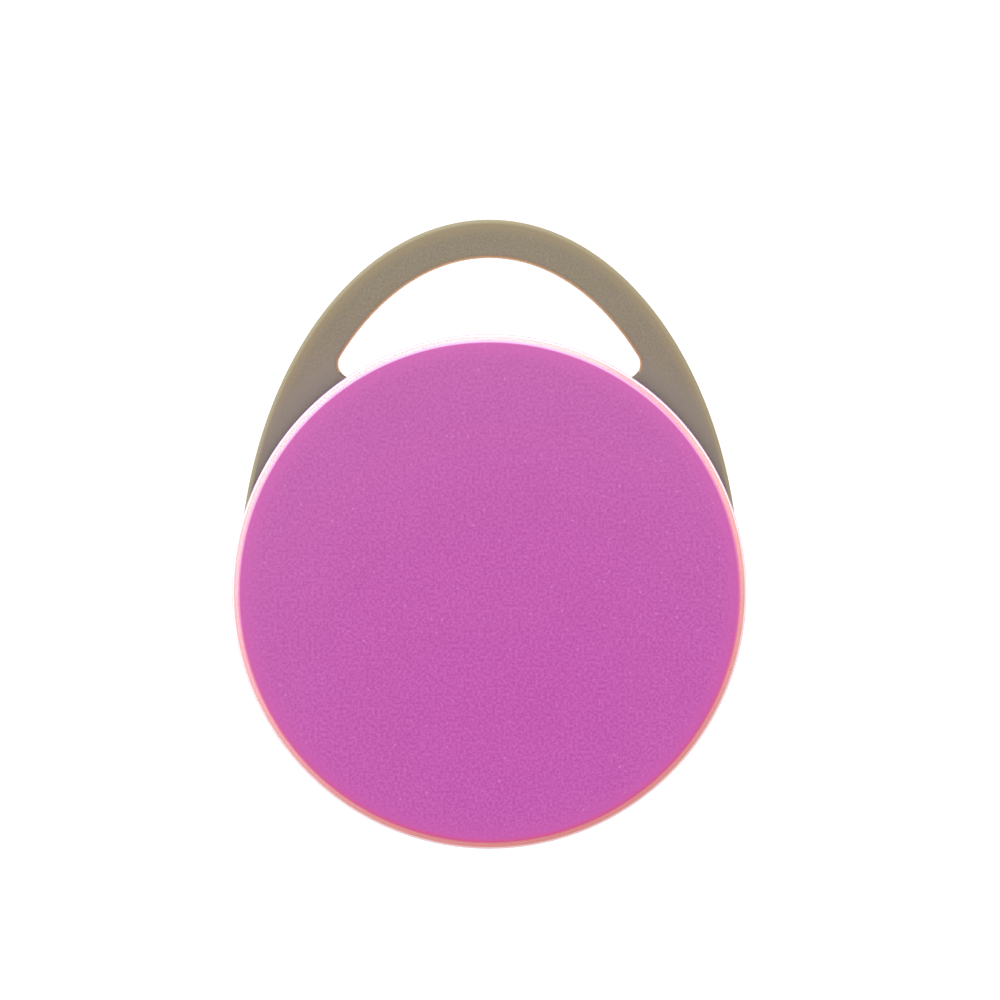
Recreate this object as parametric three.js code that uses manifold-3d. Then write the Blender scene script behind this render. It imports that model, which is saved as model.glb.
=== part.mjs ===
// A round tracker tag for a bunch of keys, in millimetres.
// A flat frame carries the key loop and the electronics. A front cover, which is one big push button,
// and a rear cover, which comes off for the coin cell, close it.
//
// The pieces are drawn in the tag's own plane: x to the right, y towards the loop and z out of the
// front face, with the disc's axis at x = y = 0 and the frame's middle at z = 0.
// The last lines stand the tag up as it hangs: face towards -Y, loop towards +Z, and the origin
// where a key ring bears on the inside of the loop.
import * as THREE from "three";
import { mergeVertices } from "three/addons/utils/BufferGeometryUtils.js";
import Module from "manifold-3d";

const wasm = await Module();
wasm.setup();

// ---- Driving dimensions ----

const DISC = { radius: 18, thickness: 8 };
const RIM = { radius: 17.93, chamfer: 0.475 }; // the covers' side walls taper in from the seam to this
const COVER = { plate: 1, skirt: 1 }; // wall thicknesses of both covers
const SEAM = 0.4; // gap between a cover's skirt and the frame's flange
const PRESS = 0.25; // travel of the front cover and of the switch under it
const LOOP = {
  thickness: 1.6,
  outer: { x: 17.57, y: 26.02 }, // half-axes of the loop's outer ellipse
  inner: { x: 14.73, y: 23.35 }, // half-axes of its inner ellipse
  corner: 1.02, // radius in the opening's two corners
};
const WALL = { inner: 16, outer: 16.7, front: 2.4, rear: -2.6 }; // frame wall that the covers fit over
const BOARD = { radius: 15.6, front: 1.4, rear: 0.6 };
const CELL = { radius: 10, height: 3.2, y: -3.9, front: 0.3 }; // standard 20 x 3.2 mm coin cell
const CRADLE = { inner: 10.15, outer: 11.1, rear: -2.2 };
const SOUNDER = { side: 7.5, y: 11.2, rear: -1.9, bore: 3.2 };
const SWITCH = { side: 4.8, top: 2.2, recess: 1.7, stem: 0.95, flange: 1.4, plungerTop: 2.62 };
const SCREW = { head: 1.1, headHeight: 0.55, shank: 0.65, tip: 2.45 };
const BOSS = { radius: 1.3, front: 2.6, hole: 0.72 };
const BARB = { width: 3, reach: 16.35, rear: 1.5, front: 1.9 };
const PLAY = 0.05; // gap between pieces that touch

const FACE = DISC.thickness / 2;
const FLANGE = LOOP.thickness / 2;
const SKIRT_END = FLANGE + SEAM;
const PLATE_INSIDE = FACE - COVER.plate;
const SKIRT_INSIDE = DISC.radius - COVER.skirt;
const ON_BOARD = BOARD.front + 0.02; // where the parts on the board's front side start
const UNDER_BOARD = BOARD.rear - PLAY; // and those on its rear side

const SCREW_PLACES = [[11.5, 8.6], [-11.5, 8.6], [-13.2, -6], [13.2, -6]];
const BARB_ANGLES = [60, 120, 240, 300];
const SOUND_HOLES = { radius: 0.35, circle: 1.3, count: 6 };

// Sides of round pieces: what shows from outside, what is inside, and the small ones.
const ROUND = 96;
const INSIDE = 56;
const SMALL = 24;

// ---- Materials ----

function plastic(color, roughness) {
  return new THREE.MeshStandardMaterial({ color, roughness, metalness: 0 });
}

function metal(color, roughness) {
  return new THREE.MeshStandardMaterial({ color, roughness, metalness: 1 });
}

const orchid = plastic(0xc660b1, 0.6);
const taupe = plastic(0x958978, 0.65);
const seal = plastic(0x2b2b2e, 0.85);
const membrane = plastic(0xe8e8e4, 0.9);
const laminate = plastic(0x1e6b45, 0.45);
const blackPlastic = plastic(0x1b1b1d, 0.5);
const whitePlastic = plastic(0xe4e2dc, 0.5);
const ceramicTan = plastic(0xb79a72, 0.6);
const ceramicWhite = plastic(0xefede6, 0.45);
const ferrite = plastic(0x3a3a3c, 0.6);
const pellet = plastic(0x2f2d2b, 0.95);
const steel = metal(0xc9cacc, 0.3);
const springSteel = metal(0xbfb9a6, 0.35);
const copper = metal(0xb87348, 0.35);

// ---- Solid helpers ----

function solidOf(geometry) {
  const bare = new THREE.BufferGeometry();
  bare.setAttribute("position", geometry.getAttribute("position"));
  bare.setIndex(geometry.getIndex());
  const merged = mergeVertices(bare, 1e-4);
  return new wasm.Manifold(
    new wasm.Mesh({
      numProp: 3,
      vertProperties: merged.getAttribute("position").array,
      triVerts: new Uint32Array(merged.getIndex().array),
    }),
  );
}

function geometryOf(solid) {
  const mesh = solid.getMesh();
  const geometry = new THREE.BufferGeometry();
  geometry.setAttribute("position", new THREE.BufferAttribute(mesh.vertProperties, 3));
  geometry.setIndex(new THREE.BufferAttribute(mesh.triVerts, 1));
  geometry.computeVertexNormals();
  return geometry;
}

function join(...geometries) {
  return geometryOf(geometries.map(solidOf).reduce((whole, next) => whole.add(next)));
}

function cut(geometry, ...tools) {
  return geometryOf(tools.map(solidOf).reduce((left, tool) => left.subtract(tool), solidOf(geometry)));
}

// A closed outline of [radius, z] points, anticlockwise, turned about the z axis.
function revolve(outline, sides = ROUND) {
  const points = outline.map(([r, z]) => new THREE.Vector2(r, z));
  if (outline[0][0] > 0) points.push(points[0].clone());
  return new THREE.LatheGeometry(points, sides).rotateX(Math.PI / 2);
}

function rod(radius, low, high, x = 0, y = 0, sides = SMALL) {
  return new THREE.CylinderGeometry(radius, radius, high - low, sides)
    .rotateX(Math.PI / 2)
    .translate(x, y, (low + high) / 2);
}

function ring(inner, outer, low, high, sides = ROUND) {
  return revolve([[inner, low], [outer, low], [outer, high], [inner, high]], sides);
}

function block(width, height, low, high, x = 0, y = 0) {
  return new THREE.BoxGeometry(width, height, high - low).translate(x, y, (low + high) / 2);
}

function slab(shape, low, high, curveSegments = 24) {
  const options = { depth: high - low, bevelEnabled: false, curveSegments };
  return new THREE.ExtrudeGeometry(shape, options).translate(0, 0, low);
}

// A block laid along a radius of the disc, from one radius to another.
function spoke(from, to, width, low, high, degrees) {
  return block(to - from, width, low, high, (from + to) / 2, 0).rotateZ(THREE.MathUtils.degToRad(degrees));
}

// ---- The frame with its key loop ----

// The opening between the ring and the loop: the ring's circle below, the inner ellipse above, and a
// corner circle on each side that touches both.
function loopOpening() {
  const { inner, corner } = LOOP;
  const ringRadius = LOOP.outer.x;
  const onEllipse = (t) => new THREE.Vector2(inner.x * Math.cos(t), inner.y * Math.sin(t));
  const inwards = (t) => new THREE.Vector2(-Math.cos(t) / inner.x, -Math.sin(t) / inner.y).normalize();
  const cornerAt = (t) => onEllipse(t).addScaledVector(inwards(t), corner);
  let low = 0;
  let high = Math.PI / 2;
  for (let step = 0; step < 40; step++) {
    const middle = (low + high) / 2;
    if (cornerAt(middle).length() < ringRadius + corner) low = middle;
    else high = middle;
  }
  const centre = cornerAt(low);
  const towardsRing = centre.clone().negate().angle();
  const towardsEllipse = inwards(low).negate().angle();
  const path = new THREE.Path();
  path.absarc(0, 0, ringRadius, Math.PI - centre.angle(), centre.angle(), true);
  path.absarc(centre.x, centre.y, corner, towardsRing, towardsEllipse + 2 * Math.PI, false);
  path.absellipse(0, 0, inner.x, inner.y, low, Math.PI - low, false);
  path.absarc(-centre.x, centre.y, corner, Math.PI - towardsEllipse, 3 * Math.PI - towardsRing, false);
  return path;
}

function framePlate() {
  const outline = new THREE.Shape();
  outline.absellipse(0, 0, LOOP.outer.x, LOOP.outer.y, 0, Math.PI, false);
  outline.absarc(0, 0, LOOP.outer.x, Math.PI, 2 * Math.PI, false);
  const inside = new THREE.Path().absarc(0, 0, WALL.inner, 0, 2 * Math.PI, false);
  outline.holes.push(inside, loopOpening());
  return slab(outline, -FLANGE, FLANGE, ROUND / 4);
}

function loopFrame() {
  const overlap = 0.3; // how far joined shapes run into each other
  const wall = ring(WALL.inner, WALL.outer, WALL.rear, WALL.front);
  const bosses = SCREW_PLACES.flatMap(([x, y]) => {
    const low = BOARD.front + PLAY;
    const degrees = THREE.MathUtils.radToDeg(Math.atan2(y, x));
    const bridge = spoke(Math.hypot(x, y), WALL.inner + overlap, BOSS.radius * 1.6, low, WALL.front, degrees);
    return [rod(BOSS.radius, low, BOSS.front, x, y), bridge];
  });
  const holes = SCREW_PLACES.map(([x, y]) => rod(BOSS.hole, 0, FACE, x, y));
  const windows = BARB_ANGLES.map((degrees) => {
    const low = BARB.rear - PRESS - 2 * PLAY;
    const high = BARB.front + 2 * PLAY;
    return spoke(WALL.inner - overlap, WALL.outer + overlap, BARB.width + 0.6, low, high, degrees);
  });
  return cut(join(framePlate(), wall, ...bosses), ...holes, ...windows);
}

// ---- Covers ----

// A shallow cup with a tapered side wall and a chamfered edge, its plate towards +z.
function coverCup() {
  const { radius, chamfer } = RIM;
  return revolve([
    [0, PLATE_INSIDE],
    [SKIRT_INSIDE, PLATE_INSIDE],
    [SKIRT_INSIDE, SKIRT_END],
    [DISC.radius, SKIRT_END],
    [radius, FACE - chamfer],
    [radius - chamfer, FACE],
    [0, FACE],
  ]);
}

function frontCover() {
  const bury = 0.2;
  const pressBoss = rod(1.2, SWITCH.plungerTop + PLAY, PLATE_INSIDE + bury);
  const stiffener = ring(7, 7.8, PLATE_INSIDE - 0.2, PLATE_INSIDE + bury, INSIDE);
  const barbs = BARB_ANGLES.map((degrees) =>
    spoke(BARB.reach, SKIRT_INSIDE + bury, BARB.width, BARB.rear, BARB.front, degrees),
  );
  return join(coverCup(), pressBoss, stiffener, ...barbs);
}

function rearCover() {
  const bead = { inner: WALL.outer + 0.1, low: 1.8, high: 2.2 };
  const notch = { width: 5, height: 0.7 };
  const cup = join(coverCup(), ring(bead.inner, SKIRT_INSIDE + 0.2, bead.low, bead.high));
  const pryNotch = spoke(SKIRT_INSIDE - 0.1, DISC.radius + 1, notch.width, 0, SKIRT_END + notch.height, -90);
  const holes = [rod(SOUND_HOLES.radius, 0, FACE + 1, 0, SOUNDER.y, 16)];
  for (let i = 0; i < SOUND_HOLES.count; i++) {
    const angle = (i * 2 * Math.PI) / SOUND_HOLES.count;
    const x = SOUND_HOLES.circle * Math.cos(angle);
    const y = SOUNDER.y + SOUND_HOLES.circle * Math.sin(angle);
    holes.push(rod(SOUND_HOLES.radius, 0, FACE + 1, x, y, 16));
  }
  // Turned over about the y axis, so that its plate faces -z.
  return cut(cup, pryNotch, ...holes).rotateY(Math.PI);
}

// ---- Circuit board ----

function circuitBoard() {
  const screwHoles = SCREW_PLACES.map(([x, y]) => rod(SCREW.shank + 0.1, 0, 2, x, y));
  const pinHoles = [-1, 1].map((side) => rod(0.6, 0, 2, (side * (CRADLE.inner + CRADLE.outer)) / 2, CELL.y));
  return cut(rod(BOARD.radius, BOARD.rear, BOARD.front, 0, 0, INSIDE), ...screwHoles, ...pinHoles);
}

function boardScrew([x, y]) {
  const { head, headHeight, shank, tip } = SCREW;
  const low = UNDER_BOARD - headHeight;
  const outline = [
    [0, low],
    [head * 0.8, low],
    [head, low + 0.2],
    [head, UNDER_BOARD],
    [shank, UNDER_BOARD],
    [shank, tip - 0.2],
    [shank * 0.6, tip],
    [0, tip],
  ];
  const slots = [0, 90].map((degrees) =>
    block(1.2, 0.3, low - 1, low + 0.25).rotateZ(THREE.MathUtils.degToRad(degrees)),
  );
  return cut(revolve(outline, SMALL), ...slots).translate(x, y, 0);
}

// ---- Push switch in the middle of the board ----

const switchFloor = ON_BOARD + 0.1;

function switchBase() {
  const body = block(SWITCH.side, SWITCH.side, ON_BOARD, SWITCH.top - 0.2);
  return cut(body, rod(SWITCH.recess, switchFloor, FACE));
}

function switchDome() {
  return rod(SWITCH.recess - PLAY, switchFloor + 0.01, switchFloor + 0.08);
}

function switchPlunger() {
  const flangeTop = SWITCH.top - 0.2;
  const flangeLow = flangeTop - 0.12;
  return revolve(
    [
      [0, flangeLow],
      [SWITCH.flange, flangeLow],
      [SWITCH.flange, flangeTop],
      [SWITCH.stem, flangeTop],
      [SWITCH.stem, SWITCH.plungerTop - 0.1],
      [SWITCH.stem - 0.1, SWITCH.plungerTop],
      [0, SWITCH.plungerTop],
    ],
    SMALL,
  );
}

function switchLid() {
  const lid = block(SWITCH.side, SWITCH.side, SWITCH.top - 0.18, SWITCH.top);
  return cut(lid, rod(SWITCH.stem + 0.1, 0, FACE));
}

// ---- Coin cell, with its steel can towards the rear cover ----

const cellRear = CELL.front - CELL.height;

function cellPiece(outline) {
  return revolve(outline, INSIDE).translate(0, CELL.y, 0);
}

function cellCan() {
  const wall = 0.25;
  const lip = { inner: 9, low: -0.15, high: 0.1 };
  return cellPiece([
    [0, cellRear],
    [CELL.radius - wall, cellRear],
    [CELL.radius, cellRear + wall],
    [CELL.radius, lip.high - 0.1],
    [CELL.radius - 0.1, lip.high],
    [lip.inner, lip.high],
    [lip.inner, lip.low],
    [CELL.radius - wall, lip.low],
    [CELL.radius - wall, cellRear + wall],
    [0, cellRear + wall],
  ]);
}

function cellGasket() {
  return cellPiece([
    [9.05, -2.6],
    [9.7, -2.6],
    [9.7, -0.2],
    [8.65, -0.2],
    [8.65, -0.35],
    [9.05, -0.35],
  ]);
}

function cellCap() {
  const plate = CELL.front - 0.25;
  return cellPiece([
    [0, plate],
    [8.35, plate],
    [8.35, -0.6],
    [9, -0.6],
    [9, -0.4],
    [8.6, -0.4],
    [8.6, CELL.front - 0.15],
    [8.45, CELL.front],
    [0, CELL.front],
  ]);
}

function cellDisc(radius, low, high) {
  return rod(radius, low, high, 0, CELL.y, INSIDE);
}

// ---- What holds the cell and touches it ----

function batteryCradle() {
  const middle = (CRADLE.inner + CRADLE.outer) / 2;
  const hoop = ring(CRADLE.inner, CRADLE.outer, CRADLE.rear, UNDER_BOARD, INSIDE);
  const pins = [-1, 1].map((side) => rod(0.42, UNDER_BOARD - 0.3, BOARD.front - 0.1, side * middle, 0, 16));
  const contactWindow = block(5, 3, CRADLE.rear - 1, BOARD.front, 0, -middle);
  return cut(join(hoop, ...pins), contactWindow).translate(0, CELL.y, 0);
}

// A strip that rises beside the can and has a foot soldered to the board.
function positiveContact() {
  const sheet = 0.2;
  const side = CELL.y - CELL.radius - PLAY;
  const foot = side - 1.3;
  const section = new THREE.Shape([
    new THREE.Vector2(side, -2),
    new THREE.Vector2(side, UNDER_BOARD),
    new THREE.Vector2(foot, UNDER_BOARD),
    new THREE.Vector2(foot, UNDER_BOARD - sheet),
    new THREE.Vector2(side - sheet, UNDER_BOARD - sheet),
    new THREE.Vector2(side - sheet, -2),
  ]);
  // The section's first axis becomes y and its second becomes z.
  return slab(section, -2, 2).rotateX(Math.PI / 2).rotateZ(Math.PI / 2);
}

// A flat plate between the board and the cell's cap, with one tongue cut free.
function negativeContact() {
  const thickness = 0.18;
  const plate = new THREE.Shape();
  plate.absarc(-5, 0, 2.5, Math.PI / 2, 1.5 * Math.PI, false);
  plate.absarc(5, 0, 2.5, 1.5 * Math.PI, 2.5 * Math.PI, false);
  const low = UNDER_BOARD - thickness;
  const slots = [block(7, 0.5, 0, 1, 0, 1.3), block(7, 0.5, 0, 1, 0, -1.3), block(0.5, 3.1, 0, 1, 3.5, 0)];
  return cut(slab(plate, low, UNDER_BOARD, 12), ...slots).translate(0, CELL.y, 0);
}

// ---- Sounder ----

const sounderFloor = UNDER_BOARD - 0.3;
const sounderLid = 0.28;

function sounderCase() {
  const low = SOUNDER.rear + sounderLid + 0.02;
  const body = block(SOUNDER.side, SOUNDER.side, low, UNDER_BOARD, 0, SOUNDER.y);
  const ledge = low + 0.6;
  const wide = rod(SOUNDER.bore, low - 1, ledge, 0, SOUNDER.y);
  return cut(body, wide, rod(SOUNDER.bore - 0.3, low - 1, sounderFloor, 0, SOUNDER.y));
}

function sounderCover() {
  const lid = block(SOUNDER.side, SOUNDER.side, SOUNDER.rear, SOUNDER.rear + sounderLid, 0, SOUNDER.y);
  return cut(lid, rod(0.7, -FACE, FACE, 0, SOUNDER.y));
}

function sounderRing(inner, outer, low) {
  return ring(inner, outer, low, sounderFloor - 0.02, SMALL).translate(0, SOUNDER.y, 0);
}

function sounderDiaphragm() {
  const high = SOUNDER.rear + sounderLid + 0.6;
  return rod(SOUNDER.bore - 0.05, high - 0.1, high, 0, SOUNDER.y);
}

// ---- The tag ----

const tag = new THREE.Group();

function add(name, geometry, material) {
  const mesh = new THREE.Mesh(geometry, material);
  mesh.name = name;
  tag.add(mesh);
}

function addChip(name, material, width, height, depth, x, y) {
  add(name, block(width, height, ON_BOARD, ON_BOARD + depth, x, y), material);
}

add("loop_frame", loopFrame(), taupe);
add("front_cover", frontCover(), orchid);
add("rear_cover", rearCover(), orchid);
add("front_gasket", ring(16.1, 16.6, WALL.front + 0.03, PLATE_INSIDE - PRESS - PLAY, INSIDE), seal);
add("rear_seal", ring(17.1, 17.5, -SKIRT_END + PLAY, -FLANGE - 0.03, INSIDE), seal);
add("sound_membrane", rod(2.4, -PLATE_INSIDE + 0.02, -PLATE_INSIDE + 0.12, 0, SOUNDER.y), membrane);

add("circuit_board", circuitBoard(), laminate);
SCREW_PLACES.forEach((place, i) => add(`board_screw_${i + 1}`, boardScrew(place), steel));

add("switch_base", switchBase(), blackPlastic);
add("switch_dome", switchDome(), springSteel);
add("switch_plunger", switchPlunger(), whitePlastic);
add("switch_lid", switchLid(), steel);

add("cell_can", cellCan(), steel);
add("cell_gasket", cellGasket(), whitePlastic);
add("cell_cap", cellCap(), steel);
add("cell_cathode", cellDisc(9, -2.6, -1.2), pellet);
add("cell_separator", cellDisc(9, -1.17, -1.07), membrane);
add("cell_anode", cellDisc(8.3, -1.04, 0.03), steel);
add("battery_cradle", batteryCradle(), blackPlastic);
add("positive_contact", positiveContact(), springSteel);
add("negative_contact", negativeContact(), springSteel);

add("sounder_case", sounderCase(), blackPlastic);
add("sounder_lid", sounderCover(), blackPlastic);
add("sounder_diaphragm", sounderDiaphragm(), springSteel);
add("sounder_magnet", sounderRing(2, 2.8, -0.6), ferrite);
add("sounder_coil", sounderRing(0.7, 1.6, -0.5), copper);

addChip("bluetooth_chip", blackPlastic, 5, 5, 0.85, -6.5, 4);
addChip("main_crystal", steel, 2.5, 2, 0.6, -6.5, 8.2);
addChip("clock_crystal", steel, 1.5, 3.2, 0.8, -10.8, 3);
addChip("chip_antenna", ceramicWhite, 6.5, 2.2, 1, 0, 13.2);
addChip("antenna_inductor", ceramicWhite, 1, 0.5, 0.5, -4.8, 12.4);
addChip("boost_coil", ferrite, 3, 3, 1, 6.5, 4);
addChip("driver_transistor", blackPlastic, 2.9, 1.3, 1, 6.5, 0.4);
addChip("bulk_capacitor", ceramicTan, 3.2, 1.6, 1.2, 6.5, 8.2);
[[-3, 6.6], [-9.8, 6.6], [-6.5, 0.6], [-3, 8.6]].forEach(([x, y], i) =>
  addChip(`capacitor_${i + 1}`, ceramicTan, 1, 0.5, 0.5, x, y),
);

tag.rotation.x = Math.PI / 2;
tag.position.z = -LOOP.inner.y;

export default tag;
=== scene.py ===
"""A round tracker tag for keys: covers, frame, and everything that they hold.

The disc's axis runs along Y. The front cover faces -Y, the rear cover +Y, and the loop is on top.
"""
import math
from contextlib import contextmanager

import bmesh
import bpy
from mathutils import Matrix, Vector


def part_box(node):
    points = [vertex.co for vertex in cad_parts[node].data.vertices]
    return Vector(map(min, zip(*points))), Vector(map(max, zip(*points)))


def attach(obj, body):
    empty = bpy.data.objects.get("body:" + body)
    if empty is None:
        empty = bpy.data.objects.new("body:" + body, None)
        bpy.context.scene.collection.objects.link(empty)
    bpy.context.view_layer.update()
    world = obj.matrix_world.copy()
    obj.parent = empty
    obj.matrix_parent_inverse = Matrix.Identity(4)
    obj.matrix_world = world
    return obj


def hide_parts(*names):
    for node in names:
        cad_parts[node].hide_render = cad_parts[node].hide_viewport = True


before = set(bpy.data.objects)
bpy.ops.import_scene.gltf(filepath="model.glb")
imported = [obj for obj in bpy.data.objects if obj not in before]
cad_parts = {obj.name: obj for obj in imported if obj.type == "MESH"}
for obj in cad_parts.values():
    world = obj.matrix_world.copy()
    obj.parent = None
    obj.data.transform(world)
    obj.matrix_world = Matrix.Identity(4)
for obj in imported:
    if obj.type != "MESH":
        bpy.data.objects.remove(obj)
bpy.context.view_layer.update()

MM = 0.001

# ---- Sizes that the frame gives ----

front_low, front_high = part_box("front_cover")
loop_low, loop_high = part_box("loop_frame")
cell_low, cell_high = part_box("cell_can")
sounder_low, sounder_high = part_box("sounder_lid")

DISC = (front_high.x - front_low.x) / 2  # radius at the seam, where a cover is widest
CENTRE = (front_low.z + front_high.z) / 2
FACE = -front_low.y  # distance from the frame's middle to a cover's outer face
SKIRT_END = -front_high.y  # and to a cover's open end
RING = (loop_high.x - loop_low.x) / 2  # radius of the frame's flange
LOOP_TOP = loop_high.z - CENTRE
OPENING_TOP = -CENTRE  # the origin lies on the inside of the loop's top
CELL_Z = (cell_low.z + cell_high.z) / 2
CELL_RADIUS = (cell_high.x - cell_low.x) / 2
SOUNDER_Z = (sounder_low.z + sounder_high.z) / 2

# ---- Sizes of the shapes that are modelled here ----

RIM = 17.93 * MM  # radius where a cover's side wall meets its chamfer
CHAMFER = 0.475 * MM
WALL = 1.0 * MM  # of both covers
LOOP_HALF = 0.8 * MM  # half of the loop's thickness
OPENING_SIDE = 14.73 * MM  # half-width of the ellipse that shapes the loop's opening
CORNER = 1.02 * MM  # radius of the opening's corners
FRAME_INNER = 16.0 * MM  # radii of the frame's wall
FRAME_OUTER = 16.7 * MM
BARB_ANGLES = (60, 120, 240, 300)
BARB_LOW, BARB_HIGH, BARB_WIDTH = -1.9 * MM, -1.5 * MM, 3 * MM  # along Y, and sideways
WINDOW_LOW, WINDOW_HIGH, WINDOW_WIDTH = -2.0 * MM, -1.15 * MM, 3.6 * MM
SCREW_PLACES = ((11.5, 8.6), (-11.5, 8.6), (-13.2, -6.0), (13.2, -6.0))  # mm from the disc's axis
BOSS = 1.3 * MM  # radius of a screw's post
BOSS_HOLE = 0.72 * MM
BOSS_FRONT = -2.6 * MM
BOARD_FRONT = -1.45 * MM
SOUND_HOLE = 0.35 * MM  # radius of a sound hole
SOUND_CIRCLE = 1.3 * MM  # radius of the circle that six of them stand on
CLOSE = 1e-6  # metres: points nearer to each other than this are at one place
SPARE = 0.3 * MM  # how far a joined or a cutting shape runs past the wall
FINE = 320  # sides of the big round shapes
MIDDLE = 128  # of the ribs and beads inside
COARSE = 48  # and of the small ones


# ---- Light ----

BACKDROP = 1.15  # how bright the white around the tag looks
SIDE_LIGHT = 0.55  # light from all round
FACE_LIGHT = 1.65  # added towards the directions that the two faces look in
FACE_POWER = 4.0  # how narrow that light is
WHITE = (1.0, 1.0, 1.0, 1.0)
BAND_ANGLE = 108  # where the band is brightest, counted from +X towards +Z
BAND_WIDTH = 0.16  # its half-width, as the sine of an angle
BAND_POWER = 1.5  # how fast it fades away from its brightest angle
BAND_STRENGTH = 15.5
BAND_COOL = (0.77, 1.0, 1.12, 1.0)  # its color on the left
BAND_WARM = (0.82, 1.08, 1.01, 1.0)  # and on the right
GAP_ANGLE = 50  # where the band is dimmer and magenta
GAP_HALF = 15  # degrees from there to where it has its own brightness again
GAP_CORE = 4  # degrees that are dimmed in full
GAP_DEPTH = 0.4
GAP_COLOR = (0.84, 0.72, 1.15, 1.0)

# ---- Camera ----

VIEW_WIDTH = 69.65 * MM  # width of the picture at the front face
CAMERA_RISE = 10 * MM  # height of the camera above the disc's centre
AIM_SIDE = 0.75 * MM  # the point of the face's plane that the camera looks at
AIM_RISE = 6.4 * MM
LENS = 300  # mm
SENSOR = 36  # mm

# ---- Ways of working ----

def pick(piece):
    """Makes piece the only selected object, and the active one."""
    bpy.ops.object.select_all(action="DESELECT")
    piece.select_set(True)
    bpy.context.view_layer.objects.active = piece


@contextmanager
def editing(piece, kind="FACE"):
    """Edit mode on piece, with nothing selected."""
    pick(piece)
    bpy.ops.object.mode_set(mode="EDIT")
    bpy.ops.mesh.select_mode(type=kind)
    bpy.ops.mesh.select_all(action="DESELECT")
    yield
    bpy.ops.object.mode_set(mode="OBJECT")


def choose(elements, test):
    """Selects the verts, edges or faces of the mesh in edit mode for which test is true."""
    mesh = bmesh.from_edit_mesh(bpy.context.edit_object.data)
    mesh.select_mode = {elements[:-1].upper()} if elements != "verts" else {"VERT"}
    for element in getattr(mesh, elements):
        element.select_set(bool(test(element)))
    mesh.select_flush_mode()
    bmesh.update_edit_mesh(bpy.context.edit_object.data)


def middle(element):
    """The middle of an edge or a face."""
    points = [vertex.co for vertex in element.verts]
    return sum(points, Vector()) / len(points)


def from_axis(point):
    """Distance of a point from the disc's axis."""
    return math.hypot(point.x, point.z - CENTRE)


def on_circle(point, radius, y, x=0.0, z=CENTRE, slack=CLOSE):
    """Whether a point lies on a circle about an axis along Y."""
    distance = math.hypot(point.x - x, point.z - z)
    return abs(distance - radius) < slack and abs(point.y - y) < CLOSE


def is_level(face, side, y):
    """Whether a flat face looks to +Y, with side 1, or to -Y, with side -1, and lies at y."""
    return face.normal.y * side > 0.9 and abs(middle(face).y - y) < CLOSE


def set_down(piece):
    """Moves the object's place into its mesh."""
    pick(piece)
    bpy.ops.object.transform_apply(location=True, rotation=True, scale=True)
    return piece


def rod(name, radius, low, high, x=0.0, z=CENTRE, sides=COARSE):
    """A cylinder along Y, from low to high."""
    bpy.ops.object.select_all(action="DESELECT")
    bpy.ops.mesh.primitive_cylinder_add(
        vertices=sides, radius=radius, depth=high - low,
        location=(x, (low + high) / 2, z), rotation=(math.pi / 2, 0, 0),
    )
    piece = bpy.context.object
    piece.name = name
    return set_down(piece)


def block(name, low, high, turn=0.0):
    """A box between two corners, turned about the disc's axis."""
    low, high = Vector(low), Vector(high)
    bpy.ops.object.select_all(action="DESELECT")
    bpy.ops.mesh.primitive_cube_add(size=1, location=(low + high) / 2)
    piece = bpy.context.object
    piece.name = name
    piece.scale = high - low
    set_down(piece)
    if turn:
        with editing(piece):
            bpy.ops.mesh.select_all(action="SELECT")
            bpy.ops.transform.rotate(value=turn, orient_axis="Y", center_override=(0, 0, CENTRE))
    return piece


def combine(piece, operation, *tools):
    """Joins tools to piece, or cuts them from it, and removes them."""
    for tool in tools:
        pick(piece)
        modifier = piece.modifiers.new("combine", "BOOLEAN")
        modifier.operation = operation
        modifier.solver = "EXACT"
        modifier.object = tool
        bpy.ops.object.modifier_apply(modifier=modifier.name)
        bpy.data.meshes.remove(tool.data)
    return piece


def tidy_mesh(piece, gap=0.002 * MM):
    """Merges doubled points and turns the faces outwards."""
    with editing(piece, "VERT"):
        bpy.ops.mesh.select_all(action="SELECT")
        bpy.ops.mesh.remove_doubles(threshold=gap)
        bpy.ops.mesh.normals_make_consistent(inside=False)
    return piece


def soften(piece, width, segments=3, angle=40):
    """Rounds every edge that turns by more than angle, in degrees."""
    pick(piece)
    modifier = piece.modifiers.new("soften", "BEVEL")
    modifier.width = width
    modifier.segments = segments
    modifier.limit_method = "ANGLE"
    modifier.angle_limit = math.radians(angle)
    modifier.miter_outer = "MITER_ARC"
    modifier.harden_normals = False
    bpy.ops.object.modifier_apply(modifier=modifier.name)
    return piece


def round_edges(piece, test, width, segments):
    """Bevels the edges for which test is true."""
    with editing(piece, "EDGE"):
        choose("edges", test)
        bpy.ops.mesh.bevel(offset=width, segments=segments, affect="EDGES")


def smooth(piece, angle=35):
    """Shades curves smoothly and keeps flat faces flat up to their edges."""
    pick(piece)
    bpy.ops.object.shade_smooth_by_angle(angle=math.radians(angle))
    modifier = piece.modifiers.new("flat_faces", "WEIGHTED_NORMAL")
    modifier.keep_sharp = True
    modifier.weight = 100
    bpy.ops.object.modifier_apply(modifier=modifier.name)
    return piece


def place(piece, body, material, *nodes, slot=None):
    """Gives a finished piece its material, its body and the nodes that it stands for."""
    piece.data.materials.clear()
    piece.data.materials.append(material)
    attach(piece, body)
    if nodes:
        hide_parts(*nodes)
    return piece


# ---- Materials ----

VALUE = "NodeSocketFloat"


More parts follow.
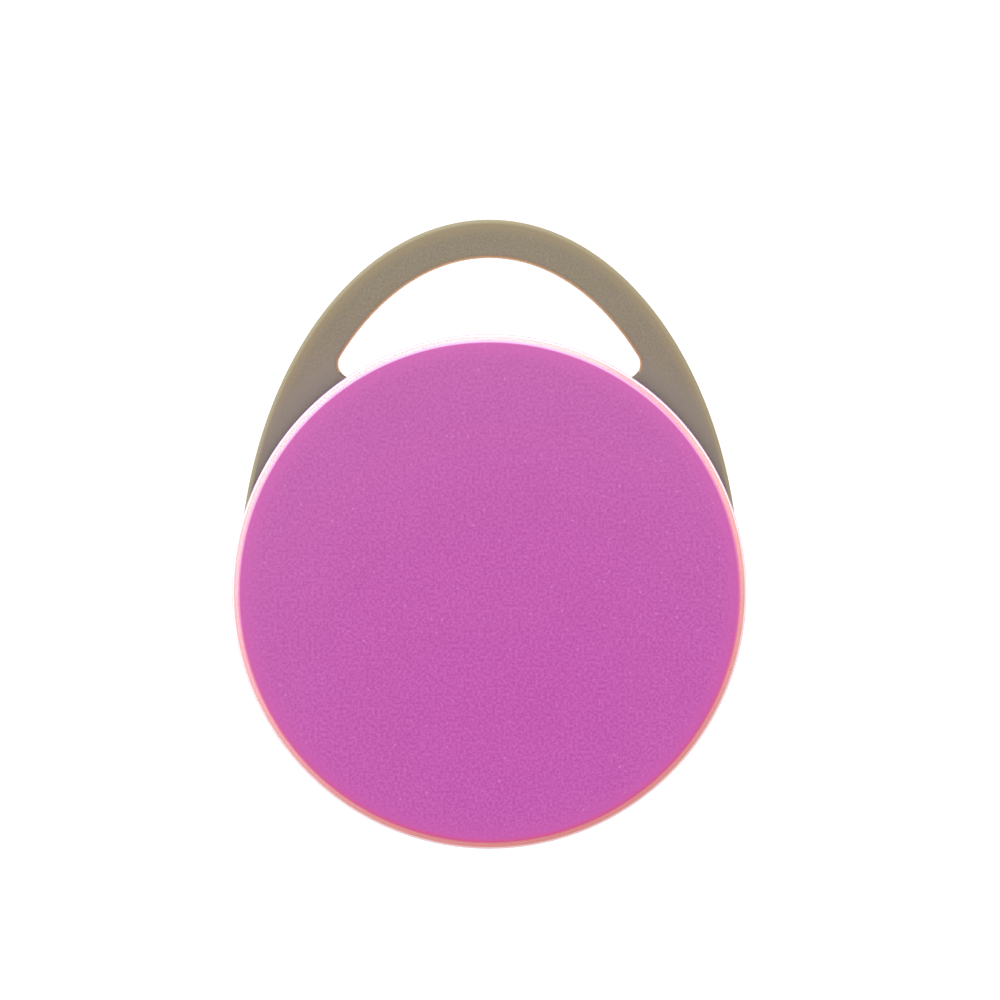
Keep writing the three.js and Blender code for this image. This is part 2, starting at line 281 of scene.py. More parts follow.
class Nodes:
    """A node tree, with one short call for each node."""

    def __init__(self, tree):
        self.tree = tree

    def add(self, kind, **settings):
        node = self.tree.nodes.new(kind)
        for name, value in settings.items():
            setattr(node, name, value)
        return node

    def link(self, source, target):
        self.tree.links.new(source, target)

    def feed(self, target, source):
        """Links source to target, or sets target to it where source is a plain value."""
        if isinstance(source, bpy.types.NodeSocket):
            self.link(source, target)
        else:
            target.default_value = source

    def math(self, operation, first, second=0.0, clamp=False):
        """One sum, on plain values or sockets."""
        node = self.add("ShaderNodeMath", operation=operation, use_clamp=clamp)
        self.feed(node.inputs[0], first)
        self.feed(node.inputs[1], second)
        return node.outputs[0]

    def ramp(self, value, low, high, start=0.0, end=1.0):
        """Takes value from low..high to start..end along a smooth step."""
        node = self.add("ShaderNodeMapRange", interpolation_type="SMOOTHSTEP")
        for socket, source in zip(node.inputs, (value, low, high, start, end)):
            self.feed(socket, source)
        return node.outputs["Result"]

    def mix(self, share, first, second):
        """A color between first, at share 0, and second, at share 1."""
        node = self.add("ShaderNodeMix", data_type="RGBA")
        self.feed(node.inputs["Factor"], share)
        self.feed(node.inputs[6], first)
        self.feed(node.inputs[7], second)
        return node.outputs[2]

    def blend(self, share, first, second):
        """The same for single values."""
        node = self.add("ShaderNodeMix", data_type="FLOAT")
        self.feed(node.inputs[0], share)
        self.feed(node.inputs[2], first)
        self.feed(node.inputs[3], second)
        return node.outputs[0]

    def noise(self, point, scale, detail=3.0, roughness=0.6):
        node = self.add("ShaderNodeTexNoise")
        self.feed(node.inputs["Vector"], point)
        self.feed(node.inputs["Scale"], scale)
        node.inputs["Detail"].default_value = detail
        node.inputs["Roughness"].default_value = roughness
        return node.outputs["Fac"]

    def place(self):
        """The point on the piece, in metres."""
        return self.add("ShaderNodeTexCoord").outputs["Object"]

    def length(self, first, second):
        """Length of the flat vector (first, second)."""
        squares = [self.math("MULTIPLY", value, value) for value in (first, second)]
        return self.math("SQRT", self.math("ADD", *squares))

    def parts(self, vector):
        """The three numbers of a vector."""
        node = self.add("ShaderNodeSeparateXYZ")
        self.feed(node.inputs[0], vector)
        return node.outputs

    def join(self, first, second, third):
        """The vector of three numbers."""
        node = self.add("ShaderNodeCombineXYZ")
        for socket, value in zip(node.inputs, (first, second, third)):
            self.feed(socket, value)
        return node.outputs[0]

    def group(self, tree, **values):
        """A node group with its inputs set, and its outputs."""
        node = self.add("ShaderNodeGroup", node_tree=tree)
        for name, value in values.items():
            self.feed(node.inputs[name.replace("_", " ")], value)
        return node.outputs


def new_group(name, inputs, outputs):
    """An empty node group and its Nodes. Its inputs come as {name: value}, its outputs as names."""
    tree = bpy.data.node_groups.new(name, "ShaderNodeTree")
    for label, value in inputs.items():
        socket = tree.interface.new_socket(label, in_out="INPUT", socket_type=VALUE)
        socket.default_value = value
    for label in outputs:
        tree.interface.new_socket(label, in_out="OUTPUT", socket_type=VALUE)
    nodes = Nodes(tree)
    return tree, nodes, nodes.add("NodeGroupInput").outputs, nodes.add("NodeGroupOutput").inputs


def make_sand_grain():
    """Fine sand texture of a moulded surface: its height, soft mottling and rare pale flecks."""
    tree, nodes, given, result = new_group(
        "sand_grain",
        {"Grain": 0.25 * MM, "Flecks": 0.5},
        ("Height", "Mottle", "Fleck"),
    )
    point = nodes.place()
    scale = nodes.math("DIVIDE", 1.0, given["Grain"])
    coarse = nodes.noise(point, scale, detail=2.0, roughness=0.55)
    fine = nodes.noise(point, nodes.math("MULTIPLY", scale, 2.3), detail=2.0)
    broad = nodes.noise(point, nodes.math("MULTIPLY", scale, 0.07), detail=3.0)
    height = nodes.math("ADD", nodes.math("MULTIPLY", coarse, 0.7), nodes.math("MULTIPLY", fine, 0.3))
    nodes.link(height, result["Height"])
    grain = nodes.ramp(height, 0.36, 0.64)
    mottle = nodes.math("ADD", nodes.math("MULTIPLY", grain, 0.75), nodes.math("MULTIPLY", broad, 0.25))
    nodes.link(mottle, result["Mottle"])
    cells = nodes.add("ShaderNodeTexVoronoi", feature="F1")
    nodes.feed(cells.inputs["Vector"], point)
    nodes.feed(cells.inputs["Scale"], nodes.math("MULTIPLY", scale, 0.55))
    chance = nodes.parts(cells.outputs["Color"])[0]
    plain_share = nodes.math("SUBTRACT", 1.0, nodes.math("MULTIPLY", given["Flecks"], 0.2))
    rare = nodes.math("GREATER_THAN", chance, plain_share)
    dot = nodes.ramp(cells.outputs["Distance"], 0.1, 0.3, 1.0, 0.0)
    nodes.link(nodes.math("MULTIPLY", dot, rare), result["Fleck"])
    return tree


def make_micro_wear():
    """Soft uneven gloss with fine hairline scuffs: a roughness and a height."""
    tree, nodes, given, result = new_group(
        "micro_wear",
        {"Roughness": 0.4, "Amount": 0.1, "Size": 1 * MM},
        ("Roughness", "Height"),
    )
    point = nodes.place()
    scale = nodes.math("DIVIDE", 1.0, given["Size"])
    cloud = nodes.noise(point, scale, detail=5.0)
    swing = nodes.math("MULTIPLY", given["Amount"], 4.0)
    offset = nodes.math("MULTIPLY", nodes.math("SUBTRACT", cloud, 0.5), swing)
    nodes.link(nodes.math("ADD", given["Roughness"], offset, clamp=True), result["Roughness"])
    nodes.link(nodes.noise(point, nodes.math("MULTIPLY", scale, 6.0), detail=2.0), result["Height"])
    return tree


sand_grain = make_sand_grain()
micro_wear = make_micro_wear()


def new_material(name, roughness, metallic=0.0, specular=0.5):
    """A material with its Principled shader, and its Nodes."""
    material = bpy.data.materials.new(name)
    material.use_nodes = True
    nodes = Nodes(material.node_tree)
    shader = material.node_tree.nodes["Principled BSDF"]
    shader.inputs["Roughness"].default_value = roughness
    shader.inputs["Metallic"].default_value = metallic
    shader.inputs["Specular IOR Level"].default_value = specular
    return material, nodes, shader.inputs


def add_bump(nodes, shader, height, depth, strength=1.0):
    """Relief that is depth deep where height goes from 0 to 1."""
    bump = nodes.add("ShaderNodeBump")
    bump.inputs["Strength"].default_value = strength
    bump.inputs["Distance"].default_value = depth
    nodes.feed(bump.inputs["Height"], height)
    nodes.link(bump.outputs["Normal"], shader["Normal"])


def opaque(red, green, blue):
    """A full color, from linear parts."""
    return (red, green, blue, 1.0)


def make_orchid():
    """Sand-textured orchid plastic with a coral chamfer.

    Painted light: the face is paler towards the loop, as if lit from above, and a little paler towards the
    rim. Its thin border is crimson at the bottom with a painted pale pinkish highlight at the top, and a
    painted highlight line runs round the shoulder past the chamfer.
    """
    material, nodes, shader = new_material("orchid_plastic", 0.62, specular=0.35)
    grain = nodes.group(sand_grain, Grain=0.2 * MM, Flecks=0.35)
    across, along, up = nodes.parts(nodes.place())
    up = nodes.math("SUBTRACT", up, CENTRE)
    radius = nodes.length(across, up)
    depth = nodes.math("ABSOLUTE", along)
    face_edge = RIM - CHAMFER
    outer = nodes.ramp(depth, FACE - CHAMFER - 0.12 * MM, FACE - CHAMFER - 0.01 * MM)
    broad = nodes.math("MULTIPLY", nodes.ramp(radius, face_edge - 1.6 * MM, face_edge), outer)
    narrow = nodes.ramp(radius, face_edge - 0.32 * MM, face_edge - 0.02 * MM)
    fringe = nodes.math("MULTIPLY", narrow, outer)
    # Painted top light: this share grows towards the top and the loop, and lightens the face, its border
    # and the shoulder there as if lit from above.
    slope = nodes.math("SUBTRACT", up, nodes.math("MULTIPLY", across, 0.2))
    painted_top_light = nodes.ramp(slope, -1.25 * DISC, 1.25 * DISC)
    bowl = nodes.ramp(radius, 5 * MM, 20 * MM)
    # The face is mixed towards a paler colour: painted top light, most at the top, and a little more
    # towards the rim.
    pale = nodes.math("ADD", nodes.math("MULTIPLY", bowl, 0.05), nodes.math("MULTIPLY", painted_top_light, 0.122))
    chamfer = nodes.ramp(radius, face_edge - 0.05 * MM, face_edge + 0.12 * MM)
    rim = nodes.math("MULTIPLY", chamfer, outer)
    # Painted highlight line: this mask covers the rounded shoulder between the chamfer and the side wall.
    corner = nodes.math("MULTIPLY", nodes.ramp(radius, RIM - 0.17 * MM, RIM - 0.08 * MM), outer)
    dark = opaque(0.405, 0.036, 0.297)
    light = opaque(0.533, 0.089, 0.421)
    plain = nodes.mix(pale, nodes.mix(grain["Mottle"], dark, light), opaque(0.64, 0.33, 0.455))
    flecked = nodes.mix(nodes.math("MULTIPLY", grain["Fleck"], 0.3), plain, opaque(0.72, 0.36, 0.64))
    # Painted light: the redder border is paler at the top.
    border = nodes.mix(painted_top_light, opaque(0.525, 0.078, 0.350), opaque(0.600, 0.120, 0.410))
    # Painted highlight: the last strip of the face turns pale pinkish white at the top, and stays crimson
    # at the bottom.
    last = nodes.ramp(radius, face_edge - 0.14 * MM, face_edge - 0.02 * MM)
    top_edge = nodes.math("MULTIPLY", last, painted_top_light)
    painted_top_highlight = nodes.mix(top_edge, opaque(0.610, 0.120, 0.400), opaque(0.930, 0.500, 0.860))
    crimson = nodes.mix(painted_top_light, opaque(0.575, 0.065, 0.220), painted_top_highlight)
    warm = nodes.mix(fringe, nodes.mix(nodes.math("MULTIPLY", broad, 0.7), flecked, border), crimson)
    coral = nodes.mix(grain["Mottle"], opaque(0.685, 0.203, 0.200), opaque(0.735, 0.238, 0.232))
    tinted = nodes.mix(rim, warm, coral)
    # Painted highlight on the shoulder: near white at the top, pale salmon at the bottom.
    painted_shoulder_highlight = nodes.mix(painted_top_light, opaque(0.920, 0.580, 0.560), opaque(0.930, 0.860, 0.880))
    nodes.link(nodes.mix(corner, tinted, painted_shoulder_highlight), shader["Base Color"])
    nodes.link(nodes.ramp(grain["Mottle"], 0.0, 1.0, 0.68, 0.56), shader["Roughness"])
    past_face = nodes.ramp(radius, face_edge - 0.02 * MM, face_edge + 0.08 * MM)
    coat = nodes.math("MULTIPLY", past_face, nodes.ramp(outer, 0.0, 1.0, 0.25, 1.0))
    nodes.link(coat, shader["Coat Weight"])
    shader["Coat Roughness"].default_value = 0.22
    shader["Sheen Weight"].default_value = 0.35
    shader["Sheen Roughness"].default_value = 0.35
    add_bump(nodes, shader, grain["Height"], 0.03 * MM, 0.9)
    return material


def make_taupe():
    """Smooth matt taupe plastic with a fine parting line round its edge.

    Painted light: a paler, yellower highlight along its outer edge, a painted amber glow on the opening's
    rounded edges and a warm brown one on its outer rounded edges, a painted lighter fill beside the
    covers, and a painted purple shade line right next to them.
    """
    material, nodes, shader = new_material("taupe_plastic", 0.6, specular=0.3)
    grain = nodes.group(sand_grain, Grain=0.16 * MM, Flecks=0.5)
    coordinates = nodes.add("ShaderNodeTexCoord")
    across, along, up = nodes.parts(coordinates.outputs["Object"])
    up = nodes.math("SUBTRACT", up, CENTRE)
    side, facing, rise = nodes.parts(coordinates.outputs["Normal"])
    facing = nodes.math("ABSOLUTE", facing)
    off_face = nodes.ramp(facing, 0.2, 0.99, 1.0, 0.0)
    rounded = nodes.math("MULTIPLY", off_face, nodes.ramp(facing, 0.01, 0.12))
    sideways = nodes.math("MULTIPLY", side, across)
    outwards = nodes.math("ADD", sideways, nodes.math("MULTIPLY", rise, up))
    inner = nodes.math("LESS_THAN", outwards, 0.0)
    cloud = nodes.noise(coordinates.outputs["Object"], 1200.0, detail=2.0)
    olive = nodes.mix(grain["Mottle"], opaque(0.213, 0.177, 0.113), opaque(0.268, 0.228, 0.150))
    mauve = nodes.mix(grain["Mottle"], opaque(0.213, 0.173, 0.123), opaque(0.268, 0.223, 0.164))
    plain = nodes.mix(nodes.ramp(cloud, 0.35, 0.65), olive, mauve)
    flecked = nodes.mix(nodes.math("MULTIPLY", grain["Fleck"], 0.25), plain, opaque(0.42, 0.37, 0.28))
    # Painted highlight: a paler, yellower strip along the loop's outer edge.
    ellipse = nodes.length(nodes.math("DIVIDE", across, RING), nodes.math("DIVIDE", up, LOOP_TOP))
    painted_edge_highlight = nodes.mix(nodes.ramp(ellipse, 0.95, 0.99), flecked, opaque(0.300, 0.236, 0.140))
    radius = nodes.length(across, up)
    # Painted fill light: beside the covers, where their shade falls, the flat faces are mixed towards a
    # lighter, cooler colour.
    past_ring = nodes.ramp(radius, RING, DISC - 0.1 * MM)
    outside = nodes.math("MULTIPLY", past_ring, nodes.ramp(facing, 0.9, 0.98))
    painted_fill_light = nodes.math("MULTIPLY", nodes.ramp(radius, DISC, DISC + 3 * MM, 0.75, 0.0), outside)
    # Painted shade and painted reflection: a thin purple line right beside the covers.
    painted_contact_shade = nodes.math("MULTIPLY", nodes.ramp(radius, DISC, DISC + 0.25 * MM, 0.5, 0.0), outside)
    painted_fill_color = nodes.mix(painted_fill_light, painted_edge_highlight, opaque(0.264, 0.250, 0.196))
    shaded = nodes.mix(painted_contact_shade, painted_fill_color, opaque(0.240, 0.140, 0.190))
    # Painted glow on the rounded edges: amber on the opening's edges, as if lit from below, and a warm
    # brown on the outer edges.
    edge = nodes.mix(inner, opaque(0.270, 0.178, 0.084), opaque(0.90, 0.56, 0.22))
    nodes.link(nodes.mix(rounded, shaded, edge), shader["Base Color"])
    nodes.link(nodes.ramp(grain["Mottle"], 0.0, 1.0, 0.66, 0.54), shader["Roughness"])
    line = nodes.ramp(nodes.math("ABSOLUTE", along), 0.015 * MM, 0.05 * MM, 1.0, 0.0)
    height = nodes.math("ADD", grain["Height"], nodes.math("MULTIPLY", line, 1.6))
    add_bump(nodes, shader, height, 0.012 * MM, 0.5)
    return material


def make_plastic(name, color, roughness, grain_size=0.12 * MM, depth=0.006 * MM):
    """Plain moulded plastic or rubber with a fine grain."""
    material, nodes, shader = new_material(name, roughness)
    grain = nodes.group(sand_grain, Grain=grain_size, Flecks=0.2)
    shaded = [channel * 0.8 for channel in color]
    nodes.link(nodes.mix(grain["Mottle"], opaque(*shaded), opaque(*color)), shader["Base Color"])
    gloss = nodes.ramp(grain["Mottle"], 0.0, 1.0, roughness + 0.06, roughness - 0.06)
    nodes.link(gloss, shader["Roughness"])
    add_bump(nodes, shader, grain["Height"], depth, 0.5)
    return material


def make_metal(name, color, roughness):
    """Plated metal with uneven gloss."""
    material, nodes, shader = new_material(name, roughness, metallic=1.0)
    wear = nodes.group(micro_wear, Roughness=roughness, Amount=0.08, Size=1.2 * MM)
    tarnish = nodes.ramp(wear["Height"], 0.35, 0.7)
    darker = [channel * 0.82 for channel in color]
    nodes.link(nodes.mix(tarnish, opaque(*darker), opaque(*color)), shader["Base Color"])
    nodes.link(wear["Roughness"], shader["Roughness"])
    add_bump(nodes, shader, wear["Height"], 0.004 * MM, 0.35)
    return material


def make_turned_steel():
    """Nickel-plated steel of the cell, with fine rings turned about its axis."""
    material, nodes, shader = new_material("turned_steel", 0.3, metallic=1.0)
    wear = nodes.group(micro_wear, Roughness=0.28, Amount=0.07, Size=2.5 * MM)
    across, _, up = nodes.parts(nodes.place())
    radius = nodes.length(across, nodes.math("SUBTRACT", up, CELL_Z))
    rings = nodes.noise(nodes.join(radius, 0.0, 0.0), 9000.0, detail=2.0)
    nodes.link(nodes.mix(rings, opaque(0.50, 0.50, 0.50), opaque(0.66, 0.65, 0.63)), shader["Base Color"])
    nodes.link(wear["Roughness"], shader["Roughness"])
    height = nodes.math("ADD", rings, nodes.math("MULTIPLY", wear["Height"], 0.5))
    add_bump(nodes, shader, height, 0.003 * MM, 0.4)
    return material


def make_board():
    """Green solder mask over copper: square tiles, and in most of them parallel tracks that show paler."""
    material, nodes, shader = new_material("board_laminate", 0.35)
    point = nodes.place()
    across, _, up = nodes.parts(point)
    tiles = nodes.add("ShaderNodeTexVoronoi", feature="F1", distance="CHEBYCHEV")
    nodes.link(nodes.join(across, 0.0, up), tiles.inputs["Vector"])
    tiles.inputs["Scale"].default_value = 1 / (1.6 * MM)
    tiles.inputs["Randomness"].default_value = 0.0
    chances = nodes.parts(tiles.outputs["Color"])
    sideways = nodes.math("GREATER_THAN", chances[0], 0.5)
    routed = nodes.math("GREATER_THAN", chances[1], 0.35)
    position = nodes.blend(sideways, across, up)
    wave = nodes.math("SINE", nodes.math("MULTIPLY", position, 2 * math.pi / (0.4 * MM)))
    track = nodes.math("MULTIPLY", nodes.ramp(wave, 0.1, 0.4), routed)
    weave = nodes.noise(point, 4200.0, detail=2.0)
    mask = nodes.mix(weave, opaque(0.006, 0.070, 0.030), opaque(0.010, 0.105, 0.046))
    nodes.link(nodes.mix(track, mask, opaque(0.030, 0.230, 0.095)), shader["Base Color"])
    nodes.link(nodes.ramp(weave, 0.2, 0.8, 0.3, 0.42), shader["Roughness"])
    height = nodes.math("ADD", track, nodes.math("MULTIPLY", weave, 0.2))
    add_bump(nodes, shader, height, 0.02 * MM, 0.6)
    shader["Coat Weight"].default_value = 0.3
    return material


def make_membrane():
    """Woven vent membrane."""
    material, nodes, shader = new_material("membrane", 0.9)
    across, _, up = nodes.parts(nodes.place())
    turn = 2 * math.pi / (0.16 * MM)
    warp = nodes.math("SINE", nodes.math("MULTIPLY", across, turn))
    weft = nodes.math("SINE", nodes.math("MULTIPLY", up, turn))
    cloth = nodes.ramp(nodes.math("MULTIPLY", warp, weft), -1.0, 1.0)
    nodes.link(nodes.mix(cloth, opaque(0.45, 0.45, 0.44), opaque(0.78, 0.78, 0.75)), shader["Base Color"])
    add_bump(nodes, shader, cloth, 0.02 * MM, 0.7)
    return material


def make_copper_coil():
    """Rings of enamelled wire wound about the sounder's axis."""
    material, nodes, shader = new_material("coil_copper", 0.3, metallic=1.0)
    _, along, _ = nodes.parts(nodes.place())
    turns = nodes.math("SINE", nodes.math("MULTIPLY", along, 2 * math.pi / (0.08 * MM)))
    wire = nodes.ramp(turns, -1.0, 1.0)
    nodes.link(nodes.mix(wire, opaque(0.20, 0.05, 0.015), opaque(0.58, 0.20, 0.07)), shader["Base Color"])
    add_bump(nodes, shader, wire, 0.03 * MM, 0.8)
    return material


orchid = make_orchid()
taupe = make_taupe()
rubber = make_plastic("seal_rubber", (0.026, 0.026, 0.028), 0.8)
black_plastic = make_plastic("black_plastic", (0.020, 0.020, 0.022), 0.45)
white_plastic = make_plastic("white_plastic", (0.72, 0.70, 0.66), 0.45)
tan_ceramic = make_plastic("tan_ceramic", (0.42, 0.28, 0.14), 0.5, 0.08 * MM)
white_ceramic = make_plastic("white_ceramic", (0.78, 0.76, 0.70), 0.4, 0.08 * MM)
ferrite = make_plastic("ferrite", (0.05, 0.05, 0.053), 0.6, 0.06 * MM, 0.01 * MM)
pellet = make_plastic("cell_pellet", (0.03, 0.028, 0.026), 0.95, 0.1 * MM, 0.03 * MM)
lithium = make_metal("cell_lithium", (0.62, 0.62, 0.61), 0.5)
plated_steel = make_metal("nickel_steel", (0.60, 0.60, 0.59), 0.28)
spring_steel = make_metal("spring_steel", (0.66, 0.58, 0.40), 0.3)
gold_plate = make_metal("gold_plate", (0.83, 0.60, 0.24), 0.25)
turned_steel = make_turned_steel()
board_laminate = make_board()
membrane = make_membrane()
coil_copper = make_copper_coil()


# ---- Covers ----

def cover_cup(name, outer, end):
    """A round cup: its plate's outer face at y = outer, its open end at y = end.

    The side wall tapers towards the plate and ends in a chamfer with softened edges.
    """
    inwards = 1 if end > outer else -1
    shoulder = outer + inwards * CHAMFER
    cup = rod(name, DISC, min(shoulder, end), max(shoulder, end), sides=FINE)
    with editing(cup):
        choose("faces", lambda face: face.normal.y * inwards > 0.9)
        bpy.ops.mesh.inset(thickness=WALL, use_even_offset=True)
        pocket = (outer + inwards * WALL) - end
        bpy.ops.mesh.extrude_region_move(TRANSFORM_OT_translate={"value": (0, pocket, 0)})
    with editing(cup):
        choose("faces", lambda face: is_level(face, -inwards, shoulder))
        scale_about_axis(RIM / DISC)
        bpy.ops.mesh.extrude_region_move(TRANSFORM_OT_translate={"value": (0, -inwards * CHAMFER, 0)})
        scale_about_axis((RIM - CHAMFER) / RIM)
    round_edges(cup, lambda edge: is_ring(edge, outer), 0.07 * MM, 4)
    round_edges(cup, lambda edge: is_ring(edge, shoulder), 0.22 * MM, 6)
    round_edges(cup, lambda edge: is_ring(edge, end), 0.08 * MM, 3)
    return cup


def scale_about_axis(share):
    """Scales what is selected towards the disc's axis."""
    bpy.ops.transform.resize(value=(share, 1, share), center_override=(0, 0, CENTRE))


def is_ring(edge, y):
    """Whether the edge is part of a circle about the disc's axis at the height y."""
    ends = [vertex.co for vertex in edge.verts]
    level = all(abs(end.y - y) < CLOSE for end in ends)
    return level and abs(from_axis(ends[0]) - from_axis(ends[1])) < CLOSE


def spoke(name, start, stop, width, low, high, degrees):
    """A box along a radius of the disc, at an angle counted from +X towards +Z."""
    corners = (start, low, CENTRE - width / 2), (stop, high, CENTRE + width / 2)
    return block(name, *corners, turn=math.radians(degrees))


def make_front_cover():
    """The front cover, with the boss that presses the switch, a round rib and four barbs."""
    cover = cover_cup("front_cover_shell", -FACE, -SKIRT_END)
    inside = -FACE + WALL
    sunk = 0.2 * MM
    boss = rod("boss", 1.2 * MM, inside - sunk, -2.67 * MM)
    rib = combine(
        rod("rib", 7.8 * MM, inside - sunk, inside + 0.2 * MM, sides=MIDDLE),
        "DIFFERENCE",
        rod("rib_bore", 7.0 * MM, -FACE, 0, sides=MIDDLE),
    )
    barb_stop = DISC - WALL + SPARE
    barbs = [
        spoke("barb", 16.35 * MM, barb_stop, BARB_WIDTH, BARB_LOW, BARB_HIGH, angle)
        for angle in BARB_ANGLES
    ]
    combine(cover, "UNION", boss, rib, *barbs)
    tidy_mesh(cover)
    return place(smooth(cover), "button", orchid, "front_cover", slot="orchid_plastic")


def sound_places():
    """X and Z of the sound holes: one in the middle and six round it."""
    places = [(0.0, SOUNDER_Z)]
    for i in range(6):
        angle = i * math.pi / 3
        places.append((SOUND_CIRCLE * math.cos(angle), SOUNDER_Z + SOUND_CIRCLE * math.sin(angle)))
    return places


def is_lip(edge, places):
    """Whether an edge is one of the short sides of a sound hole, at the outer face."""
    if edge.calc_length() >= 0.1 * MM:
        return False
    return all(
        any(on_circle(vertex.co, SOUND_HOLE, FACE, x, z, 0.02 * MM) for x, z in places)
        for vertex in edge.verts
    )


def make_rear_cover():
    """The battery door, with its snap bead, pry notch and countersunk sound holes."""
    cover = cover_cup("rear_cover_shell", FACE, SKIRT_END)
    bead = combine(
        rod("bead", DISC - WALL + 0.2 * MM, 1.8 * MM, 2.2 * MM, sides=MIDDLE),
        "DIFFERENCE",
        rod("bead_bore", FRAME_OUTER + 0.1 * MM, 0, FACE, sides=MIDDLE),
    )
    combine(cover, "UNION", bead)
    notch = block(
        "notch",
        (-2.5 * MM, 0, CENTRE - DISC - MM),
        (2.5 * MM, SKIRT_END + 0.7 * MM, CENTRE - DISC + WALL + 0.1 * MM),
    )
    soften(notch, 0.3 * MM, 4)
    places = sound_places()
    holes = [rod("hole", SOUND_HOLE, 0, FACE + MM, x, z) for x, z in places]
    combine(cover, "DIFFERENCE", notch, *holes)
    tidy_mesh(cover)
    round_edges(cover, lambda edge: is_lip(edge, places), 0.1 * MM, 3)
    return place(smooth(cover), "battery_door", orchid, "rear_cover", slot="orchid_plastic")


# ---- Frame with the key loop ----

def stretched_rod(name, radius, top, half, sides=FINE):
    """A rod whose upper half is drawn out into half an ellipse that reaches top above the axis."""
    piece = rod(name, radius, -half, half, sides=sides)
    with editing(piece, "VERT"):
        choose("verts", lambda vertex: vertex.co.z > CENTRE + CLOSE)
        bpy.ops.transform.resize(value=(1, 1, top / radius), center_override=(0, 0, CENTRE))
    return piece


def opening_corner():
    """Centre of the round corner that touches the ring and the opening's ellipse.

    The second point returned is the one where it touches the ellipse.
    """
    low, high = 0.0, math.pi / 2
    for _ in range(40):
        t = (low + high) / 2
        touch = Vector((OPENING_SIDE * math.cos(t), OPENING_TOP * math.sin(t)))
        inwards = -Vector((math.cos(t) / OPENING_SIDE, math.sin(t) / OPENING_TOP)).normalized()
        centre = touch + inwards * CORNER
        if centre.length < RING + CORNER:
            low = t
        else:
            high = t
    return centre, touch


def make_opening(half):
    """The solid that cuts the loop's opening: a crescent with a round corner at each end."""
    centre, touch = opening_corner()
    on_ring = centre.normalized() * RING
    crescent = stretched_rod("opening", OPENING_SIDE, OPENING_TOP, half)
    combine(crescent, "DIFFERENCE", rod("hub", RING, -half - MM, half + MM, sides=FINE))
    edge = touch - on_ring
    for side in (1, -1):
        with editing(crescent):
            bpy.ops.mesh.select_all(action="SELECT")
            bpy.ops.mesh.bisect(
                plane_co=(side * touch.x, 0, CENTRE + touch.y),
                plane_no=(side * edge.y, 0, -edge.x),
                use_fill=True,
                clear_outer=True,
                threshold=1e-7,
            )
    corners = [
        rod("corner", CORNER, -half, half, side * centre.x, CENTRE + centre.y, 64)
        for side in (1, -1)
    ]
    combine(crescent, "UNION", *corners)
    return tidy_mesh(crescent, 0.02 * MM)


def make_bosses(wall_front):
    """The posts that the board's screws bite into, each joined to the frame's wall by a bridge."""
    pieces = []
    for x, z in SCREW_PLACES:
        post = rod("boss", BOSS, BOSS_FRONT, BOARD_FRONT, x * MM, CENTRE + z * MM)
        start, stop = math.hypot(x, z) * MM, FRAME_INNER + SPARE
        degrees = math.degrees(math.atan2(z, x))
        bridge = spoke("bridge", start, stop, BOSS * 1.6, wall_front, BOARD_FRONT, degrees)
        pieces += [soften(post, 0.1 * MM), bridge]
    return pieces


def make_frame_cuts():
    """What is cut from the frame: the screws' holes, and the windows for the front cover's barbs."""
    holes = [rod("hole", BOSS_HOLE, -FACE, 0, x * MM, CENTRE + z * MM) for x, z in SCREW_PLACES]
    start, stop = FRAME_INNER - SPARE, FRAME_OUTER + SPARE
    windows = [
        spoke("window", start, stop, WINDOW_WIDTH, WINDOW_LOW, WINDOW_HIGH, angle)
        for angle in BARB_ANGLES
    ]
    return holes + windows


def make_loop_frame():
    """The key loop in one piece with the flange and the wall that carry everything else."""
    frame_piece = stretched_rod("loop_frame_body", RING, LOOP_TOP, LOOP_HALF)
    combine(frame_piece, "DIFFERENCE", make_opening(LOOP_HALF + MM))
    tidy_mesh(frame_piece, 0.02 * MM)
    soften(frame_piece, 0.34 * MM, 5)
    wall_low, wall_high = loop_low.y, loop_high.y
    wall = rod("wall", FRAME_OUTER, wall_low, wall_high, sides=FINE)
    combine(frame_piece, "UNION", wall)
    bore = rod("bore", FRAME_INNER, wall_low - MM, wall_high + MM, sides=FINE)
    combine(frame_piece, "DIFFERENCE", bore)
    combine(frame_piece, "UNION", *make_bosses(wall_low))
    combine(frame_piece, "DIFFERENCE", *make_frame_cuts())
    return place(smooth(tidy_mesh(frame_piece)), "tag", taupe, "loop_frame", slot="taupe_plastic")


make_front_cover()
make_rear_cover()
make_loop_frame()


# ---- Coin cell ----

def hollow_can(can, lip, back):
    """Opens the can at its lip, behind a crimped rim that is narrower than the bore."""
    wall, crimp, crimp_depth = 0.25 * MM, 0.9 * MM, 0.2 * MM
    with editing(can):
        choose("faces", lambda face: face.normal.y < -0.9)
        bpy.ops.mesh.inset(thickness=crimp, use_even_offset=True)
        bpy.ops.mesh.extrude_region_move(TRANSFORM_OT_translate={"value": (0, crimp_depth, 0)})
    with editing(can):
        choose("faces", lambda face: is_level(face, -1, lip + crimp_depth))
        share = (CELL_RADIUS - wall) / (CELL_RADIUS - crimp)
        bpy.ops.transform.resize(value=(share, 1, share), center_override=(0, 0, CELL_Z))
        depth = back - lip - crimp_depth - wall
        bpy.ops.mesh.extrude_region_move(TRANSFORM_OT_translate={"value": (0, depth, 0)})


def stamp_ring(can, back):
    """Presses a fine step into the can's flat end."""
    with editing(can):
        choose("faces", lambda face: is_level(face, 1, back))
        bpy.ops.mesh.inset(thickness=1.5 * MM, use_even_offset=True)
        bpy.ops.mesh.inset(thickness=0.12 * MM, depth=0.05 * MM, use_even_offset=True)


def is_can_rim(edge, y):
    """Whether an edge is part of the can's outer circle at y."""
    return all(on_circle(vertex.co, CELL_RADIUS, y, z=CELL_Z) for vertex in edge.verts)


